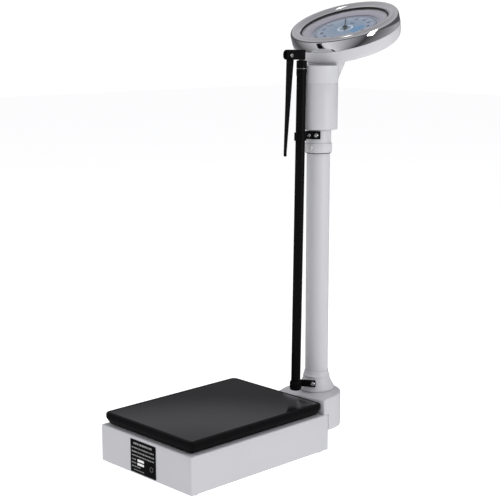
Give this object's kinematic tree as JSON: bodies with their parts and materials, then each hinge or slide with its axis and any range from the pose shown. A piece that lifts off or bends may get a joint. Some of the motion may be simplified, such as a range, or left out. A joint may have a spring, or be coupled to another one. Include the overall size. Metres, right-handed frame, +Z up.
{
  "type": "dial column scale",
  "caption": "Floor scale for people: low black platform, grey column with a tilted round dial, telescopic height rod and folding measuring arm.",
  "frame": {"origin": "on the floor, under the middle of the whole scale's outline", "axes": "+Z up; -Y is the front, where a person steps on; +X is to the right seen from the front"},
  "size_m": [0.3238, 0.6462, 0.9633],
  "materials": {
    "paint": "semi-gloss",
    "platform_black": "high gloss",
    "black": "satin",
    "pointer_black": "satin",
    "chrome": "mirror",
    "steel": "satin",
    "iron": "matt",
    "rubber": "matt",
    "glass": "clear",
    "dial_blue": "matt",
    "dial_grey": "satin",
    "brass": "satin"
  },
  "bodies": {
    "base": {"base_shell": "paint", "foot_front_left": "rubber", "foot_front_right": "rubber", "foot_rear_left": "rubber", "foot_rear_right": "rubber", "nameplate": "black", "fulcrum_beam_front": "iron", "fulcrum_beam_rear": "iron", "riser_housing": "paint", "column_foot": "paint", "column_tube": "paint", "column_collar": "paint", "collar_screw": "steel", "head_sleeve": "paint", "crank_pin": "steel", "head_housing": "paint", "bezel_ring": "chrome", "glass_gasket": "rubber", "dial_glass": "glass", "dial_surround": "dial_grey", "dial_plate": "dial_blue", "movement_frame": "brass", "rod_socket": "black", "socket_screw": "steel", "rod_clamp": "black", "clamp_screw": "steel", "clamp_pinch_screw": "steel", "rod_outer_tube": "black", "rod_outer_collar": "black", "rod_washer": "chrome"},
    "platform": {"platform_cover": "platform_black", "platform_mat": "platform_black", "platform_frame": "iron", "platform_post_front_left": "steel", "platform_post_front_right": "steel", "platform_post_rear_left": "steel", "platform_post_rear_right": "steel"},
    "front_lever": {"long_lever": "iron", "nose_arm": "iron"},
    "rear_lever": {"short_lever": "iron"},
    "pull_rod": {"draw_rod": "steel"},
    "bell_crank": {"crank": "steel"},
    "dial_rack": {"rack": "brass"},
    "pointer": {"pointer_arbor": "brass", "pointer_needle": "pointer_black", "pointer_cap": "pointer_black"},
    "rod_middle": {"rod_middle_tube": "black", "rod_middle_collar": "black"},
    "rod_inner": {"rod_inner_tube": "black", "hinge_block": "black", "pivot_pin": "steel"},
    "arm": {"measuring_arm": "black"}
  },
  "joints": [
    {"name": "platform_travel", "type": "slide", "parent": "base", "child": "platform", "axis": [0, 0, -1], "range_m": [0, 0.00179], "stiffness_N_per_m": 656000, "springref_m": -0.00011},
    {"name": "front_lever_rock", "type": "hinge", "parent": "base", "child": "front_lever", "pos_m": [-0.01785, -0.29204, 0.044], "axis": [-1, 0, 0], "range_deg": [0, 1.73]},
    {"name": "rear_lever_rock", "type": "hinge", "parent": "base", "child": "rear_lever", "pos_m": [-0.01785, 0.02796, 0.058], "axis": [1, 0, 0], "range_deg": [0, 1.73]},
    {"name": "pull_rod_travel", "type": "slide", "parent": "base", "child": "pull_rod", "axis": [0, 0, -1], "range_m": [0, 0.0121]},
    {"name": "crank_rock", "type": "hinge", "parent": "base", "child": "bell_crank", "pos_m": [0.05143, 0.13139, 0.81], "axis": [0.9923, 0.1236, 0], "range_deg": [0, 31.97]},
    {"name": "rack_travel", "type": "slide", "parent": "base", "child": "dial_rack", "axis": [0.1152, -0.9252, -0.3616], "range_m": [0, 0.02442]},
    {"name": "pointer_turn", "type": "hinge", "parent": "base", "child": "pointer", "pos_m": [0.04295, 0.19947, 0.9163], "axis": [-0.0447, 0.3589, -0.9323], "range_deg": [0, 319.27]},
    {"name": "middle_rod_slide", "type": "slide", "parent": "base", "child": "rod_middle", "axis": [0, 0.0183, 0.9998], "range_m": [0, 0.58]},
    {"name": "inner_rod_slide", "type": "slide", "parent": "rod_middle", "child": "rod_inner", "axis": [0, 0.0183, 0.9998], "range_m": [0, 0.58]},
    {"name": "arm_fold", "type": "hinge", "parent": "rod_inner", "child": "arm", "pos_m": [0.05415, 0.01909, 0.84987], "axis": [-1, 0, 0], "range_deg": [0, 84.4]}
  ],
  "couplings": [
    {"joint": "front_lever_rock", "follows": "platform_travel", "rad_per_m": 16.66},
    {"joint": "rear_lever_rock", "follows": "platform_travel", "rad_per_m": 16.66},
    {"joint": "pull_rod_travel", "follows": "platform_travel", "ratio": 6.6927},
    {"joint": "crank_rock", "follows": "platform_travel", "rad_per_m": 308.12},
    {"joint": "rack_travel", "follows": "platform_travel", "ratio": 13.482},
    {"joint": "pointer_turn", "follows": "platform_travel", "rad_per_m": 3092.3}
  ]
}
